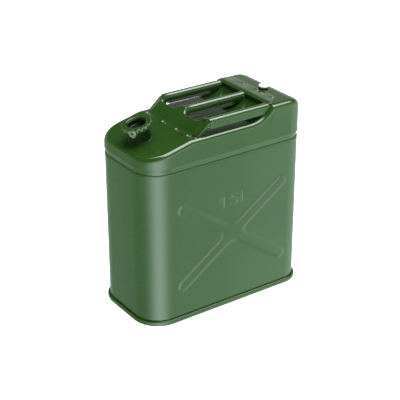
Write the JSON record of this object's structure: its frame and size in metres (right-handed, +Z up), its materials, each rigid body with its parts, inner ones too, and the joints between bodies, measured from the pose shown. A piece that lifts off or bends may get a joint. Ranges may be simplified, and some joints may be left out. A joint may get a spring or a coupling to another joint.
{
  "type": "jerry can",
  "caption": "Upright enamelled steel fuel can with cross-pressed sides, rolled foot bead, bar handle, lobed screw ring cap over a stowed spout, and a rear vent screw",
  "frame": {"origin": "on the floor under the middle of the body, the rim of the foot bead at z = 0", "axes": "+X along the can's long side to the rear where the vent is, so the filler neck is at -X; +Y across the can; +Z up"},
  "size_m": [0.333, 0.173, 0.3581],
  "materials": {
    "green_enamel": "glossy green enamel on sheet steel",
    "black_rubber": "matt black moulded rubber",
    "bright_zinc": "bright zinc plated steel"
  },
  "bodies": {
    "can": {"body_shell": "green_enamel", "bottom_pan": "green_enamel", "top_cover": "green_enamel", "carry_handle": "green_enamel", "filler_neck": "green_enamel", "neck_gasket": "black_rubber", "vent_boss": "green_enamel"},
    "spout": {"spout_collar": "bright_zinc", "spout_tube": "bright_zinc"},
    "closure": {"closure_disc": "green_enamel"},
    "ring": {"cap_ring": "green_enamel", "seal_eye": "green_enamel"},
    "vent_seal": {"vent_washer": "black_rubber"},
    "vent": {"vent_screw": "bright_zinc"}
  },
  "joints": [
    {"name": "spout_draw", "type": "slide", "parent": "can", "child": "spout", "axis": [-0.23, 0, 0.9732], "range_m": [0, 0.175]},
    {"name": "closure_rise", "type": "slide", "parent": "spout", "child": "closure", "axis": [-0.23, 0, 0.9732], "range_m": [0, 0.003]},
    {"name": "ring_turn", "type": "hinge", "parent": "closure", "child": "ring", "pos_m": [-0.122, 0, 0.31689], "axis": [-0.23, 0, 0.9732], "range_deg": [0, 540]},
    {"name": "vent_rise", "type": "slide", "parent": "can", "child": "vent_seal", "axis": [0, 0, 1], "range_m": [0, 0.006]},
    {"name": "vent_turn", "type": "hinge", "parent": "vent_seal", "child": "vent", "pos_m": [0.129, -0.005, 0.3515], "axis": [0, 0, 1], "range_deg": [0, 1440]}
  ],
  "couplings": [
    {"joint": "closure_rise", "follows": "ring_turn", "m_per_rad": 0.00031831},
    {"joint": "vent_rise", "follows": "vent_turn", "m_per_rad": 0.00023873}
  ]
}
